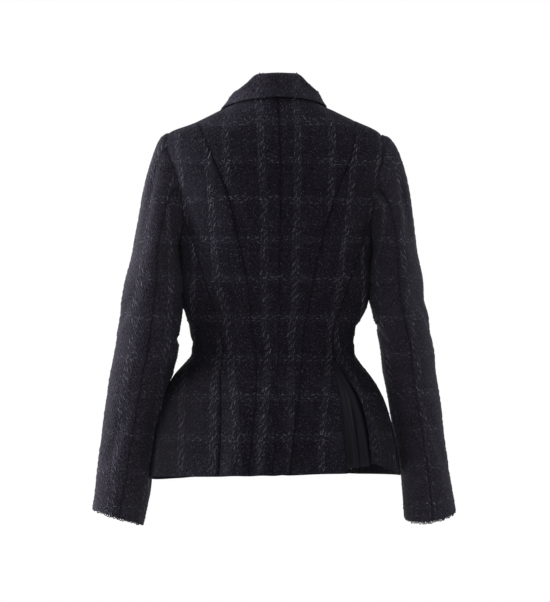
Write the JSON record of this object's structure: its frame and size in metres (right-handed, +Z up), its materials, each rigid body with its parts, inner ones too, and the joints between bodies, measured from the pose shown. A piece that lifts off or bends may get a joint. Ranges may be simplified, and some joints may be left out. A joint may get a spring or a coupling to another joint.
{
  "type": "suit jacket",
  "caption": "Fitted hollow tweed suit jacket with notched collar, set-in sleeves, princess seams and a flared peplum with a pleated side insert, shaped as worn.",
  "frame": {"origin": "on the shoulder line, midway between the points where the shoulders meet the neck", "axes": "+Z up the wearer, +Y to the wearer's back, +X to the wearer's left"},
  "size_m": [0.5871, 0.2753, 0.7195],
  "materials": {
    "tweed": "matte boucle check",
    "smooth_cloth": "soft sheen",
    "button": "polished"
  },
  "bodies": {
    "root": {"back_left": "tweed", "side_back_left": "tweed", "side_left": "tweed", "front_left": "tweed", "lapel_left": "tweed", "upper_sleeve_left": "tweed", "under_sleeve_left": "tweed", "back_right": "tweed", "side_back_right": "tweed", "side_right": "tweed", "front_right": "tweed", "lapel_right": "tweed", "upper_sleeve_right": "tweed", "under_sleeve_right": "tweed", "collar": "tweed", "insert_right": "smooth_cloth", "button_1": "button", "button_2": "button", "button_3": "button"}
  },
  "joints": []
}
